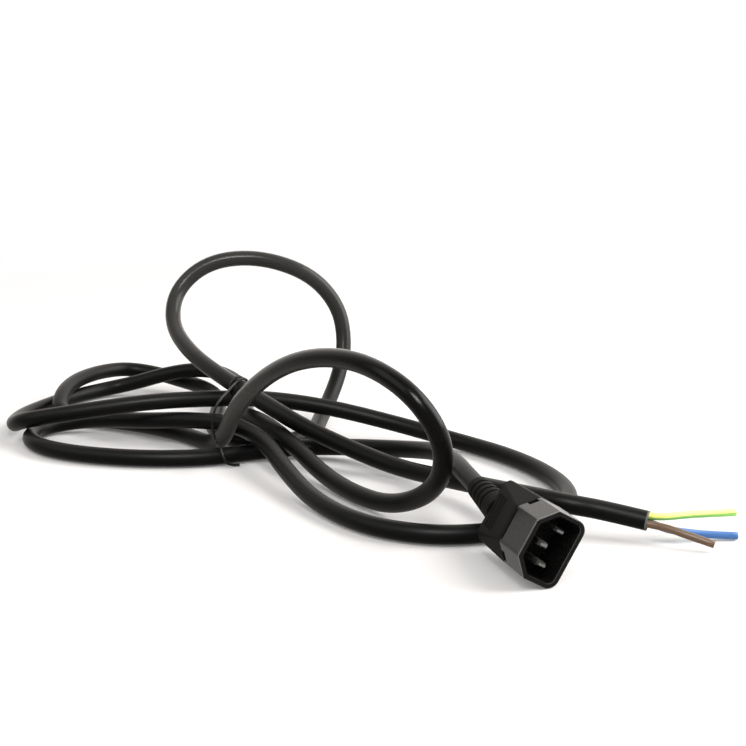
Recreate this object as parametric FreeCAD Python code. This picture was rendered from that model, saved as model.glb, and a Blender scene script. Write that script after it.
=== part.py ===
"""Mains lead with a moulded three-pin inline plug at one end and a stripped end at the other.

All sizes are millimetres. The plug lies on one long corner, as its cord holds it. Its own frame has the
middle of the mating face at the origin, the axis along +Y towards the cord, X across the thickness and
Z along the width. The whole lead stands on z = 0 with the plug's box centred on the origin.
"""
import math
import os

import FreeCAD
import Part

V = FreeCAD.Vector

# Shroud of the pin carrier: outline across the axis, and depths back from the mating face.
SHROUD_WIDTH = 28.0
SHROUD_THICKNESS = 20.4
SHROUD_CHAMFER = 6.6
SHROUD_CORNER = 4.6
SHROUD_CREASE = 1.2
SHROUD_WALL = 1.8
SHROUD_LENGTH = 17.0
RIM_ROUND = 0.5
CAVITY_LAND = 0.6
SHARPEST_CREASE = 0.3

# Recessed panel on the broad face between the chamfers, and the slot in each chamfer.
PANEL_DEPTH = 0.35
PANEL_MARGIN = 0.9
PANEL_START = 2.0
SLOT_WIDTH = 4.2
SLOT_LENGTH = 2.4
SLOT_DEPTH = 1.1
SLOT_SHIFT = 1.2

# Spigot and lip behind the shroud, which key the carrier into the soft body.
SPIGOT_INSET = 2.6
SPIGOT_LENGTH = 5.0
LIP_INSET = 1.6
LIP_LENGTH = 1.4

# Pins: blade section, places across the face, tips behind the rim, collar, tail and crimp.
PIN_BREADTH = 4.0
PIN_THICKNESS = 2.0
PIN_SPACING = 14.0
PIN_OFFSET = 2.0
LIVE_TIP = 2.5
EARTH_TIP = 1.5
TIP_LENGTH = 1.3
TIP_INSET = 0.55
COLLAR_BREADTH = 5.2
COLLAR_THICKNESS = 3.4
COLLAR_LENGTH = 1.2
TAIL_BREADTH = 2.6
TAIL_THICKNESS = 1.0
TAIL_LENGTH = 3.0
CRIMP_DIAMETER = 3.8
CRIMP_LENGTH = 7.0
CRIMP_FLOOR = 1.0

# Cord, cores and conductors.
CORD_DIAMETER = 8.2
CORE_DIAMETER = 3.1
COPPER_DIAMETER = 1.6
CORE_SPREAD = 1.9
STRIPPED_COPPER = 2.5
CORE_STRAIGHT = 5.0
MOUTH_STRAIGHT = 2.5
GATHER_CLEARANCE = 1.5
CORD_SEAT = 10.0
SHEATH_SOCKET = 4.0

# Soft body: straight collar, taper, rear outline, shoulder and grip ribs.
BODY_STRAIGHT = 2.0
BODY_END = 45.0
REAR_WIDTH = 26.4
REAR_THICKNESS = 11.6
REAR_CHAMFER = 2.2
REAR_CORNER = 3.2
REAR_CREASE = 1.5
SHOULDER_ROUND = 2.4
SHOULDER_STEPS = 5
RIB_COUNT = 3
RIB_FIRST = 32.0
RIB_PITCH = 3.6
RIB_RADIUS = 0.9
RIB_PROUD = 0.45
RIB_LENGTH = 14.0

# Strain relief boot with ring grooves, which leans in degrees as its cord pulls it.
BOOT_LEAN = 5.0
BOOT_HINGE = 5.0
BOOT_ROOT = 13.4
BOOT_TIP = 9.8
BOOT_END = 70.0
BOOT_OVERLAP = 2.0
RING_COUNT = 4
RING_LEAD = 6.0
RING_TAIL = 4.3
RING_WIDTH = 1.5
RING_FLOOR = 9.1
TIP_ROUND = 0.3

# Lie of the plug, and the clear run of cord behind its boot.
ROLL = 30.0
CORD_LEAD_OUT = 13.0

# Share of the shorter run that an arc of a cord may use at each end.
ARC_SHARE = 0.45

# Height of a cord's middle where it lies on the floor.
FLOOR = 4.2

# Cord from behind the plug to the stripped end: x from the plug's axis, y back from the mating face, z up.
CORD_POINTS = [
    # Out of the plug, over the floor strands.
    (4.5, 106, 19.5), (8, 132, 16), (2, 158, 10.5), (-14, 182, 6.5), (-36, 196, 5), (-60, 198, FLOOR),
    # Front floor strand to the left.
    (-84, 195, FLOOR), (-109, 201, FLOOR), (-132, 213, FLOOR), (-150, 228, FLOOR),
    # First fold.
    (-160, 243, FLOOR), (-163, 261, FLOOR), (-154, 277, FLOOR), (-137, 280, 5.5), (-122, 266, 8.5),
    # Back to the tie.
    (-105, 246, 11.5), (-87, 231, 14.2), (-68, 213.5, 15),
    # Lower strand of the right loop.
    (-60, 184, 13.5), (-59, 150, 8), (-56, 113, FLOOR), (-46, 78, FLOOR), (-26, 58, FLOOR),
    (-2, 52, FLOOR), (22, 57, FLOOR), (42, 71, FLOOR), (54, 92, FLOOR),
    # Upper strand of the right loop.
    (57, 120, FLOOR), (52, 152, FLOOR), (39, 184, FLOOR), (15, 209, 9), (-16, 225, 16.5), (-47, 234, 21.5),
    # Upper left strand.
    (-76, 236, 23), (-104, 239, 23), (-131, 246, 19.5), (-152, 253, 16),
    # Second fold.
    (-165, 262, 12.6), (-169, 279, 6.4), (-163, 302, 4.7), (-150, 321, FLOOR),
    # Back left strand, rising over the third fold and into the tie.
    (-131, 341, FLOOR), (-109, 353, 4.5), (-94, 348, 8), (-80, 341, 13), (-66, 335.5, 16), (-54, 330, 16),
    (-47.5, 315, 15.5), (-44.5, 292, 14), (-49, 266, 13), (-57, 238, 12.5),
    # Lower strand of the front loop.
    (-53, 211, 15), (-47, 180, 11), (-42, 149, 5), (-37, 120, FLOOR), (-29, 95, 5.5),
    # Front loop, standing up.
    (-21, 73, 15), (-20, 54, 31), (-25, 46, 49), (-34, 53, 64), (-43, 75, 71), (-51, 103, 70),
    (-60, 134, 62), (-67, 165, 47), (-73, 189, 29),
    # Touchdown, back floor strand.
    (-75.5, 206, 8.5), (-80, 219, 4.4), (-86, 237, FLOOR), (-97, 256, FLOOR),
    (-112, 273, FLOOR), (-129, 288, 4.4),
    # Third fold, down under the back left strand.
    (-143, 301, 5.5), (-140, 319, 11), (-130, 340, 13.4), (-114, 359, 13.2), (-97, 369, 12), (-81, 362, 9.8),
    (-69, 348, 7.5), (-58, 329, 6.5), (-55.5, 305, 6), (-62, 277, 5), (-73, 247, FLOOR),
    (-66, 219, FLOOR), (-47, 208, FLOOR), (-26, 219, FLOOR),
    # Upper loop, standing up.
    (-17, 240, 5), (-6, 260, 9.5), (5, 275, 21), (11, 283, 37), (9, 288, 57), (-6, 293, 75),
    (-33, 300, 84.5), (-59, 307, 82), (-77, 308, 67.5), (-83, 294, 51), (-79, 265, 41), (-69, 234, 34),
    # Middle strand to the stripped end.
    (-55, 205, 26.5), (-41, 188, 18), (-24, 171, 10.5), (-6, 146, 5.2), (7, 116, 7.5), (17.5, 84, 11),
    (26, 62, 13.3), (34.5, 52.5, 12.6), (46.4, 47.5, 10.6), (60.7, 35.3, 8.2),
]

# Stripped cores after their straight start, from the same datum as the cord.
CORE_POINTS = {
    "earth": [(80.4, 36, 8.7), (91.7, 37.2, 7.5), (102.2, 37.3, 6.8)],
    "line": [(65, 28.2, 7.2), (70.4, 22, 5.6), (78.9, 15, 3)],
    "neutral": [(67.6, 32, 4.9), (74.3, 30.3, 3.7), (83.4, 28.5, 2.1), (95.5, 24.5, 1.7)],
}

# Angle of each stripped core round the cord's middle, from the side that faces the plug's mating direction.
TAIL_ANGLES = {"earth": 100.0, "line": -20.0, "neutral": 220.0}

# Wire tie round the middle of the bundle, from the same datum as the cord.
TIE_DIAMETER = 1.3
TIE_POINTS = [
    # Free end on the floor, and up behind the bundle.
    (-53, 243, 0.75), (-60, 243.5, 0.9), (-63.5, 244, 7), (-63.2, 244, 15), (-62, 243, 25), (-59.5, 235, 33),
    # Round the upper loop's left leg.
    (-59.5, 225.5, 34), (-63.5, 222.5, 37), (-68, 220.5, 34), (-68, 221, 28), (-64, 223.5, 25.5),
    (-59, 224.5, 28), (-58, 223, 33.5), (-62, 220, 36.4), (-67, 217.8, 33.4),
    # Down the front.
    (-72, 210, 31.5), (-77, 203.5, 30), (-80, 202.5, 25.5), (-81.5, 201.5, 19), (-81, 200.5, 14),
    # Over the front floor strand to the other free end.
    (-80, 199, 9.2), (-79.5, 193.5, 9.8), (-79, 189.8, 5.2), (-76.5, 189.6, 0.9), (-71, 190.5, 0.75),
]


def outline_corners(width, thickness, chamfer):
    """Six corners (x, z) of the plug's outline: square on the +X side, chamfered on the -X side."""
    half_w = width / 2
    half_t = thickness / 2
    return [
        (half_t, -half_w),
        (half_t, half_w),
        (chamfer - half_t, half_w),
        (-half_t, half_w - chamfer),
        (-half_t, chamfer - half_w),
        (chamfer - half_t, -half_w),
    ]


def rounded_corners(corners, radii):
    """Centre, radius, tangent points and middle of the round on each corner, as (x, z) pairs."""
    rounds = []
    for i, (corner, radius) in enumerate(zip(corners, radii)):
        here = V(corner[0], 0, corner[1])
        before = V(corners[i - 1][0], 0, corners[i - 1][1])
        after = V(corners[(i + 1) % len(corners)][0], 0, corners[(i + 1) % len(corners)][1])
        to_before = (before - here).normalize()
        to_after = (after - here).normalize()
        half_angle = to_before.getAngle(to_after) / 2
        inward = (to_before + to_after).normalize()
        centre = here + inward * (radius / math.sin(half_angle))
        reach = radius / math.tan(half_angle)
        middle = centre - inward * radius
        rounds.append((centre, radius, here + to_before * reach, middle, here + to_after * reach))
    return rounds


def outline_rounds(inset):
    """Rounds of the shroud's outline, set in by a distance all round."""
    chamfer = SHROUD_CHAMFER - inset * (2 - math.sqrt(2))
    corner = max(SHROUD_CORNER - inset, SHARPEST_CREASE)
    crease = max(SHROUD_CREASE - inset, SHARPEST_CREASE)
    corners = outline_corners(SHROUD_WIDTH - 2 * inset, SHROUD_THICKNESS - 2 * inset, chamfer)
    return rounded_corners(corners, [corner, corner, crease, crease, crease, crease])


def rear_rounds(inset):
    """Rounds of the soft body's rear outline, set in by a distance all round."""
    chamfer = REAR_CHAMFER - inset * (2 - math.sqrt(2))
    corner = max(REAR_CORNER - inset, SHARPEST_CREASE)
    crease = max(REAR_CREASE - inset, SHARPEST_CREASE)
    corners = outline_corners(REAR_WIDTH - 2 * inset, REAR_THICKNESS - 2 * inset, chamfer)
    return rounded_corners(corners, [corner, corner, crease, crease, crease, crease])


def outline_wire(rounds, y):
    """Closed wire through the rounds, in the plane across the axis at y."""
    lift = V(0, y, 0)
    edges = []
    for i, (_, _, start, middle, end) in enumerate(rounds):
        following = rounds[(i + 1) % len(rounds)][2]
        edges.append(Part.Arc(start + lift, middle + lift, end + lift).toShape())
        edges.append(Part.LineSegment(end + lift, following + lift).toShape())
    return Part.Wire(edges)


def outline_solid(inset, start, end):
    """Straight solid of the shroud's outline, set in, between two depths."""
    face = Part.Face(outline_wire(outline_rounds(inset), start))
    return face.extrude(V(0, end - start, 0))


def box_between(x_range, y_range, z_range):
    """Box from its ranges on the three axes."""
    corner = V(x_range[0], y_range[0], z_range[0])
    sides = [r[1] - r[0] for r in (x_range, y_range, z_range)]
    return Part.makeBox(sides[0], sides[1], sides[2], corner)


def blade(x, z, breadth, thickness, start, end):
    """Flat bar along the axis, breadth on X and thickness on Z."""
    x_range = (x - breadth / 2, x + breadth / 2)
    z_range = (z - thickness / 2, z + thickness / 2)
    return box_between(x_range, (start, end), z_range)


def rod(x, z, diameter, start, end):
    """Round bar along the axis."""
    return Part.makeCylinder(diameter / 2, end - start, V(x, start, z), V(0, 1, 0))


def route_path(points):
    """Wire of straight runs joined by tangent arcs, each as large as its runs allow, and the arcs' radii."""
    places = [V(*p) for p in points]
    edges = []
    radii = []
    last = places[0]
    for before, here, after in zip(places, places[1:], places[2:]):
        back = before - here
        ahead = after - here
        reach = ARC_SHARE * min(back.Length, ahead.Length)
        half_turn = (math.pi - back.getAngle(ahead)) / 2
        radius = reach / math.tan(half_turn)
        back.normalize()
        ahead.normalize()
        start = here + back * reach
        end = here + ahead * reach
        inward = (back + ahead).normalize()
        middle = here + inward * (radius / math.cos(half_turn) - radius)
        edges.append(Part.LineSegment(last, start).toShape())
        edges.append(Part.Arc(start, middle, end).toShape())
        radii.append(radius)
        last = end
    edges.append(Part.LineSegment(last, places[-1]).toShape())
    return Part.Wire(edges), radii


def route_tube(points, diameter):
    """Round solid along a route, with the radii of its bends."""
    path, radii = route_path(points)
    along = V(*points[1]) - V(*points[0])
    ring = Part.Wire([Part.makeCircle(diameter / 2, V(*points[0]), along)])
    return path.makePipeShell([ring], True, False), radii, path.Length


# Places along the plug's axis that follow from the sizes.
CAVITY_DEPTH = SHROUD_LENGTH - CAVITY_LAND
BASE_REAR = SHROUD_LENGTH + SPIGOT_LENGTH
COLLAR_REAR = BASE_REAR + COLLAR_LENGTH
CRIMP_START = COLLAR_REAR + TAIL_LENGTH
CRIMP_END = CRIMP_START + CRIMP_LENGTH
CORE_START = CRIMP_END + STRIPPED_COPPER
CORD_START = BOOT_END - CORD_SEAT
RING_FIRST = BODY_END + RING_LEAD
RING_PITCH = (BOOT_END - RING_TAIL - RING_WIDTH - RING_FIRST) / (RING_COUNT - 1)

# Pins by the core that each one takes: x, z and depth of the tip.
PINS = {
    "line": (PIN_OFFSET, PIN_SPACING / 2, LIVE_TIP),
    "neutral": (PIN_OFFSET, -PIN_SPACING / 2, LIVE_TIP),
    "earth": (-PIN_OFFSET, 0.0, EARTH_TIP),
}

# Angle of each core round the cord's middle where the cord starts in the plug.
LEAD_ANGLES = {"line": 60.0, "neutral": -60.0, "earth": 180.0}


def make_pin(x, z, tip):
    """Pin with a tapered tip, a collar against the base, a flat tail and a crimp barrel."""
    full = blade(x, z, PIN_BREADTH, PIN_THICKNESS, tip + TIP_LENGTH, BASE_REAR)
    sections = []
    for y, inset in ((tip, TIP_INSET), (tip + TIP_LENGTH, 0.0)):
        half_b = PIN_BREADTH / 2 - inset
        half_t = PIN_THICKNESS / 2 - inset
        square = [(-half_b, -half_t), (half_b, -half_t), (half_b, half_t), (-half_b, half_t)]
        square.append(square[0])
        sections.append(Part.makePolygon([V(x + dx, y, z + dz) for dx, dz in square]))
    point = Part.makeLoft(sections, True, True)
    collar = blade(x, z, COLLAR_BREADTH, COLLAR_THICKNESS, BASE_REAR, COLLAR_REAR)
    tail = blade(x, z, TAIL_BREADTH, TAIL_THICKNESS, COLLAR_REAR, CRIMP_START)
    barrel = rod(x, z, CRIMP_DIAMETER, CRIMP_START, CRIMP_END)
    bore = rod(x, z, COPPER_DIAMETER, CRIMP_START + CRIMP_FLOOR, CRIMP_END)
    return full.multiFuse([point, collar, tail, barrel]).cut(bore).removeSplitter()


def make_carrier():
    """Hard front piece: shroud round an open cavity, slotted base, and keyed spigot behind it."""
    shell = outline_solid(0.0, 0.0, SHROUD_LENGTH)
    rim = [edge for edge in shell.Edges if edge.BoundBox.YMax < RIM_ROUND]
    shell = shell.makeFillet(RIM_ROUND, rim)
    cavity = outline_solid(SHROUD_WALL, -RIM_ROUND, CAVITY_DEPTH)
    half_t = SHROUD_THICKNESS / 2
    half_panel = SHROUD_WIDTH / 2 - SHROUD_CHAMFER - PANEL_MARGIN
    panel = box_between((-half_t - PANEL_DEPTH, PANEL_DEPTH - half_t), (PANEL_START, SHROUD_LENGTH),
                        (-half_panel, half_panel))
    cuts = [cavity, panel]
    for side in (1, -1):
        shift = SLOT_SHIFT / math.sqrt(2)
        x = (SHROUD_CHAMFER - SHROUD_THICKNESS) / 2 + shift
        middle = V(x, 0, side * ((SHROUD_WIDTH - SHROUD_CHAMFER) / 2 + shift))
        slot = box_between((-SLOT_DEPTH, SLOT_DEPTH), (SHROUD_LENGTH - SLOT_LENGTH, SHROUD_LENGTH),
                           (-SLOT_WIDTH / 2, SLOT_WIDTH / 2))
        slot.Placement = FreeCAD.Placement(middle, FreeCAD.Rotation(V(0, 1, 0), side * 45.0))
        cuts.append(slot)
    spigot = outline_solid(SPIGOT_INSET, SHROUD_LENGTH, BASE_REAR)
    lip = outline_solid(LIP_INSET, BASE_REAR - LIP_LENGTH, BASE_REAR)
    for x, z, _ in PINS.values():
        cuts.append(blade(x, z, PIN_BREADTH, PIN_THICKNESS, 0.0, BASE_REAR))
    return shell.multiFuse([spigot, lip]).cut(Part.makeCompound(cuts)).removeSplitter()


def body_thickness(y):
    """Thickness of the soft body at a depth on its taper."""
    start = SHROUD_LENGTH + BODY_STRAIGHT
    share = (y - start) / (BODY_END - SHOULDER_ROUND - start)
    return SHROUD_THICKNESS + (REAR_THICKNESS - SHROUD_THICKNESS) * share


def boot_lie():
    """Lean of the boot and of the cord's seat, about a point inside the soft body."""
    hinge = V(0, BODY_END - BOOT_HINGE, 0)
    return FreeCAD.Placement(V(0, 0, 0), FreeCAD.Rotation(V(1, 0, 0), BOOT_LEAN), hinge)


def make_boot():
    """Tapered strain relief with ring grooves, turned about its leaning axis."""
    start = BODY_END - BOOT_OVERLAP
    profile = [V(0, start, 0), V(BOOT_ROOT / 2, start, 0)]

    def radius_at(y):
        """Radius of the boot's cone."""
        return (BOOT_ROOT + (BOOT_TIP - BOOT_ROOT) * (y - start) / (BOOT_END - start)) / 2

    for i in range(RING_COUNT):
        front = RING_FIRST + i * RING_PITCH
        back = front + RING_WIDTH
        profile += [V(radius_at(front), front, 0), V(RING_FLOOR / 2, front, 0)]
        profile += [V(RING_FLOOR / 2, back, 0), V(radius_at(back), back, 0)]
    tip = radius_at(BOOT_END)
    profile += [V(tip, BOOT_END - TIP_ROUND, 0), V(tip - TIP_ROUND, BOOT_END, 0)]
    profile += [V(0, BOOT_END, 0), profile[0]]
    boot = Part.Face(Part.makePolygon(profile)).revolve(V(0, 0, 0), V(0, 1, 0), 360)
    boot.Placement = boot_lie()
    return boot


def make_body(contents):
    """Soft body moulded over the contents: tapered grip with ribs, rounded shoulder and boot."""
    straight_end = SHROUD_LENGTH + BODY_STRAIGHT
    collar = outline_solid(0.0, SHROUD_LENGTH, straight_end)
    front_wire = outline_wire(outline_rounds(0.0), straight_end)
    shoulder_wires = []
    for step in range(SHOULDER_STEPS + 1):
        turn = math.pi / 2 * step / SHOULDER_STEPS
        inset = SHOULDER_ROUND * (1 - math.cos(turn))
        y = BODY_END - SHOULDER_ROUND * (1 - math.sin(turn))
        shoulder_wires.append(outline_wire(rear_rounds(inset), y))
    grip = Part.makeLoft([front_wire, shoulder_wires[0]], True, True)
    shoulder = Part.makeLoft(shoulder_wires, True, False)
    ribs = []
    for i in range(RIB_COUNT):
        y = RIB_FIRST + i * RIB_PITCH
        for side in (1, -1):
            x = side * (body_thickness(y) / 2 - RIB_RADIUS + RIB_PROUD)
            ribs.append(Part.makeCylinder(RIB_RADIUS, RIB_LENGTH, V(x, y, -RIB_LENGTH / 2), V(0, 0, 1)))
    outside = collar.multiFuse([grip, shoulder, make_boot()] + ribs).removeSplitter()
    return outside.cut(Part.makeCompound(contents))


def ring_place(angle):
    """Place (x, z) of a core round the middle of the cord."""
    turn = math.radians(angle)
    return CORE_SPREAD * math.cos(turn), CORE_SPREAD * math.sin(turn)


def make_lead(name):
    """Core and copper from the crimp, gathered before the first ring, to the start of the cord."""
    x, z, _ = PINS[name]
    end_x, end_z = ring_place(LEAD_ANGLES[name])
    lean = boot_lie()
    route = [(x, CORE_START, z), (x, CORE_START + CORE_STRAIGHT, z)]
    for y in (RING_FIRST - GATHER_CLEARANCE, CORD_START):
        route.append(tuple(lean.multVec(V(end_x, y, end_z))))
    core, _, _ = route_tube(route, CORE_DIAMETER)
    copper, _, _ = route_tube(route, COPPER_DIAMETER)
    bare = rod(x, z, COPPER_DIAMETER, CRIMP_START + CRIMP_FLOOR, CORE_START)
    return core.cut(copper), copper.fuse(bare).removeSplitter()


def plug_datum():
    """Place of the middle of the mating face, with the rolled plug on the floor and its box centred."""
    roll = math.radians(ROLL)
    sideways = []
    heights = []
    for centre, radius, _, _, _ in outline_rounds(0.0):
        across = centre.x * math.cos(roll) + centre.z * math.sin(roll)
        up = centre.z * math.cos(roll) - centre.x * math.sin(roll)
        sideways += [across - radius, across + radius]
        heights.append(up - radius)
    return V(-(min(sideways) + max(sideways)) / 2, -BOOT_END / 2, -min(heights))


def plug_lie():
    """Place and roll of the plug as it lies on the floor."""
    return FreeCAD.Placement(plug_datum(), FreeCAD.Rotation(V(0, 1, 0), ROLL))


def from_datum(points, datum):
    """Points of the cord's list, moved to the lead's own frame."""
    return [(x + datum.x, y + datum.y, z) for x, y, z in points]


def make_cord(datum):
    """Sheath along its whole route, with a short socket for each stripped core, and the cores' starts."""
    seat = plug_lie().multiply(boot_lie())
    start = [tuple(seat.multVec(V(0, y, 0))) for y in (CORD_START, BOOT_END + CORD_LEAD_OUT)]
    print("cord start from the datum", from_datum(start, V(-datum.x, -datum.y, 0)))
    route = start + from_datum(CORD_POINTS, datum)
    sheath, radii, length = route_tube(route, CORD_DIAMETER)
    section = math.pi * CORD_DIAMETER ** 2 / 4
    print("cord length", round(length, 1))
    print("volume over section times length", sheath.Volume / section / length)
    print("cord radii", [round(r) for r in radii])
    end = V(*route[-1])
    along = (end - V(*route[-2])).normalize()
    side = along.cross(V(0, 0, 1)).normalize()
    up = side.cross(along)
    starts = {}
    sockets = []
    for name, angle in TAIL_ANGLES.items():
        aside, above = ring_place(angle)
        mouth = end + side * aside + up * above
        starts[name] = [tuple(mouth - along * SHEATH_SOCKET), tuple(mouth + along * MOUTH_STRAIGHT)]
        sockets.append(Part.makeCylinder(CORE_DIAMETER / 2, SHEATH_SOCKET, V(*starts[name][0]), along))
    return sheath.cut(Part.makeCompound(sockets)), starts


def make_tail(name, start, datum):
    """Stripped core and its copper, cut off flush."""
    route = start + from_datum(CORE_POINTS[name], datum)
    core, radii, _ = route_tube(route, CORE_DIAMETER)
    copper, _, _ = route_tube(route, COPPER_DIAMETER)
    print(name, "core radii", [round(r) for r in radii])
    return core.cut(copper), copper


def main():
    """Build every piece and write one STEP file each."""
    datum = plug_datum()
    lie = plug_lie()
    plug = {"pin_carrier": make_carrier()}
    for name, place in PINS.items():
        plug[name + "_pin"] = make_pin(*place)
    for name in PINS:
        plug[name + "_lead_core"], plug[name + "_lead_copper"] = make_lead(name)
    contents = list(plug.values())
    seat = rod(0.0, 0.0, CORD_DIAMETER, CORD_START, BOOT_END)
    seat.Placement = boot_lie().multiply(seat.Placement)
    contents.append(seat)
    plug["plug_body"] = make_body(contents)
    pieces = {}
    for name, shape in plug.items():
        shape.Placement = lie.multiply(shape.Placement)
        pieces[name] = shape
    pieces["cord_sheath"], starts = make_cord(datum)
    for name in PINS:
        pieces[name + "_tail_core"], pieces[name + "_tail_copper"] = make_tail(name, starts[name], datum)
    pieces["wire_tie"], tie_radii, _ = route_tube(from_datum(TIE_POINTS, datum), TIE_DIAMETER)
    print("tie radii", [round(r) for r in tie_radii])
    os.makedirs("parts", exist_ok=True)
    for name, shape in pieces.items():
        print(name, "solids", len(shape.Solids), "valid", shape.isValid(), "volume", round(shape.Volume, 1))
        shape.exportStep("parts/" + name + ".step")


main()
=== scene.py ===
"""Looks of a mains lead: a moulded plug, a loose tied bundle of cord and a stripped end."""

import logging
import math
from dataclasses import dataclass, field
from enum import Enum
from typing import Any, Sequence

import bmesh
import bpy
from mathutils import Matrix, Vector


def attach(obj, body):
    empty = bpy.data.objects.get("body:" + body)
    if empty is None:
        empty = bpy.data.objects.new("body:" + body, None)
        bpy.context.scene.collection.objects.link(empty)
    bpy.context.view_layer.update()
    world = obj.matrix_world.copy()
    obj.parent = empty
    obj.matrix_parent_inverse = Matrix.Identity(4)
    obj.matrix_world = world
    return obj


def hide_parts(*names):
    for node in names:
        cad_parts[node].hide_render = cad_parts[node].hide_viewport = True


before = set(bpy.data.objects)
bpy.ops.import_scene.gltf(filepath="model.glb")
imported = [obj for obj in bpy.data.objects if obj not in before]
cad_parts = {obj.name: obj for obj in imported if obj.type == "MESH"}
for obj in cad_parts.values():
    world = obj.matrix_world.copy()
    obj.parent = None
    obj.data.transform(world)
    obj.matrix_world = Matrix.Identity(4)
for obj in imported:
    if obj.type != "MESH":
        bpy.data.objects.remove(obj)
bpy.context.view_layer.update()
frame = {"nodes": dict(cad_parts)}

log = logging.getLogger("mains_lead")

Colour = tuple[float, float, float]
Point = tuple[float, float, float]
Span = tuple[float, float]

MM = 0.001
BODY = "root"
FULL_TURN = 2 * math.pi
WHITE: Colour = (1.0, 1.0, 1.0)

# Value that a noise swings about.
NOISE_MIDDLE = 0.5
# Order of the smooth lines: each piece of one is a parabola, as in the solids.
LINE_ORDER = 3
# Lengthens a stretch a little, so that a ring at its very start counts as part of it.
SLACK = 1.001
# Strands round the middle one in a closely packed bundle.
INNER_RING = 6
OUTER_RING = 12

# Middle of the plug's mating face, projected on the floor: the datum of every listed route.
DATUM = Vector((-0.852 * MM, -35.0 * MM, 0.0))
FLOOR = 4.2

# Cord from the plug to the stripped end, in millimetres from the datum.
CORD_ROUTE: list[Point] = [
    # Straight out of the boot.
    (0.872, 59.924, 17.05), (1.874, 82.836, 18.786),
    # Over the floor strands.
    (4.5, 106, 19.5), (8, 132, 16), (2, 158, 10.5), (-14, 182, 6.5), (-36, 196, 5),
    (-60, 198, FLOOR),
    # Front floor strand to the left.
    (-84, 195, FLOOR), (-109, 201, FLOOR), (-132, 213, FLOOR), (-150, 228, FLOOR),
    # First fold.
    (-160, 243, FLOOR), (-163, 261, FLOOR), (-154, 277, FLOOR), (-137, 280, 5.5),
    (-122, 266, 8.5),
    # Back to the tie.
    (-105, 246, 11.5), (-87, 231, 14.2), (-68, 213.5, 15),
    # Lower strand of the right loop.
    (-60, 184, 13.5), (-59, 150, 8), (-56, 113, FLOOR), (-46, 78, FLOOR), (-26, 58, FLOOR),
    (-2, 52, FLOOR), (22, 57, FLOOR), (42, 71, FLOOR), (54, 92, FLOOR),
    # Upper strand of the right loop.
    (57, 120, FLOOR), (52, 152, FLOOR), (39, 184, FLOOR), (15, 209, 9), (-16, 225, 16.5),
    (-47, 234, 21.5),
    # Upper left strand.
    (-76, 236, 23), (-104, 239, 23), (-131, 246, 19.5), (-152, 253, 16),
    # Second fold.
    (-165, 262, 12.6), (-169, 279, 6.4), (-163, 302, 4.7), (-150, 321, FLOOR),
    # Back left strand, rising over the third fold and into the tie.
    (-131, 341, FLOOR), (-109, 353, 4.5), (-94, 348, 8), (-80, 341, 13), (-66, 335.5, 16),
    (-54, 330, 16), (-47.5, 315, 15.5), (-44.5, 292, 14), (-49, 266, 13), (-57, 238, 12.5),
    # Lower strand of the front loop.
    (-53, 211, 15), (-47, 180, 11), (-42, 149, 5), (-37, 120, FLOOR), (-29, 95, 5.5),
    # Front loop, standing up.
    (-21, 73, 15), (-20, 54, 31), (-25, 46, 49), (-34, 53, 64), (-43, 75, 71), (-51, 103, 70),
    (-60, 134, 62), (-67, 165, 47), (-73, 189, 29),
    # Touchdown, back floor strand.
    (-75.5, 206, 8.5), (-80, 219, 4.4), (-86, 237, FLOOR), (-97, 256, FLOOR),
    (-112, 273, FLOOR), (-129, 288, 4.4),
    # Third fold, down under the back left strand.
    (-143, 301, 5.5), (-140, 319, 11), (-130, 340, 13.4), (-114, 359, 13.2), (-97, 369, 12),
    (-81, 362, 9.8), (-69, 348, 7.5), (-58, 329, 6.5), (-55.5, 305, 6), (-62, 277, 5),
    (-73, 247, FLOOR), (-66, 219, FLOOR), (-47, 208, FLOOR), (-26, 219, FLOOR),
    # Upper loop, standing up.
    (-17, 240, 5), (-6, 260, 9.5), (5, 275, 21), (11, 283, 37), (9, 288, 57), (-6, 293, 75),
    (-33, 300, 84.5), (-59, 307, 82), (-77, 308, 67.5), (-83, 294, 51), (-79, 265, 41),
    (-69, 234, 34),
    # Middle strand to the stripped end.
    (-55, 205, 26.5), (-41, 188, 18), (-24, 171, 10.5), (-6, 146, 5.2), (7, 116, 7.5),
    (17.5, 84, 11), (26, 62, 13.3), (34.5, 52.5, 12.6), (46.4, 47.5, 10.6), (60.7, 35.3, 8.2),
]

# Wire tie round the middle of the bundle, in millimetres from the datum.
TIE_ROUTE: list[Point] = [
    # Free end on the floor, and up behind the bundle.
    (-53, 243, 0.75), (-60, 243.5, 0.9), (-63.5, 244, 7), (-63.2, 244, 15), (-62, 243, 25),
    (-59.5, 235, 33),
    # Round the upper loop's left leg.
    (-59.5, 225.5, 34), (-63.5, 222.5, 37), (-68, 220.5, 34), (-68, 221, 28),
    (-64, 223.5, 25.5), (-59, 224.5, 28), (-58, 223, 33.5), (-62, 220, 36.4),
    (-67, 217.8, 33.4),
    # Down the front.
    (-72, 210, 31.5), (-77, 203.5, 30), (-80, 202.5, 25.5), (-81.5, 201.5, 19),
    (-81, 200.5, 14),
    # Over the front floor strand to the other free end.
    (-80, 199, 9.2), (-79.5, 193.5, 9.8), (-79, 189.8, 5.2), (-76.5, 189.6, 0.9),
    (-71, 190.5, 0.75),
]


def to_frame(points: Sequence[Point]) -> list[Vector]:
    """Turn millimetres from the datum into metres of the shared frame.

    Args:
        points: Route points in millimetres from the datum.

    Returns:
        The same points in metres.
    """
    return [DATUM + Vector(p) * MM for p in points]


class Core(Enum):
    """The three cores of the cord."""

    LINE = "line"
    NEUTRAL = "neutral"
    EARTH = "earth"


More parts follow.
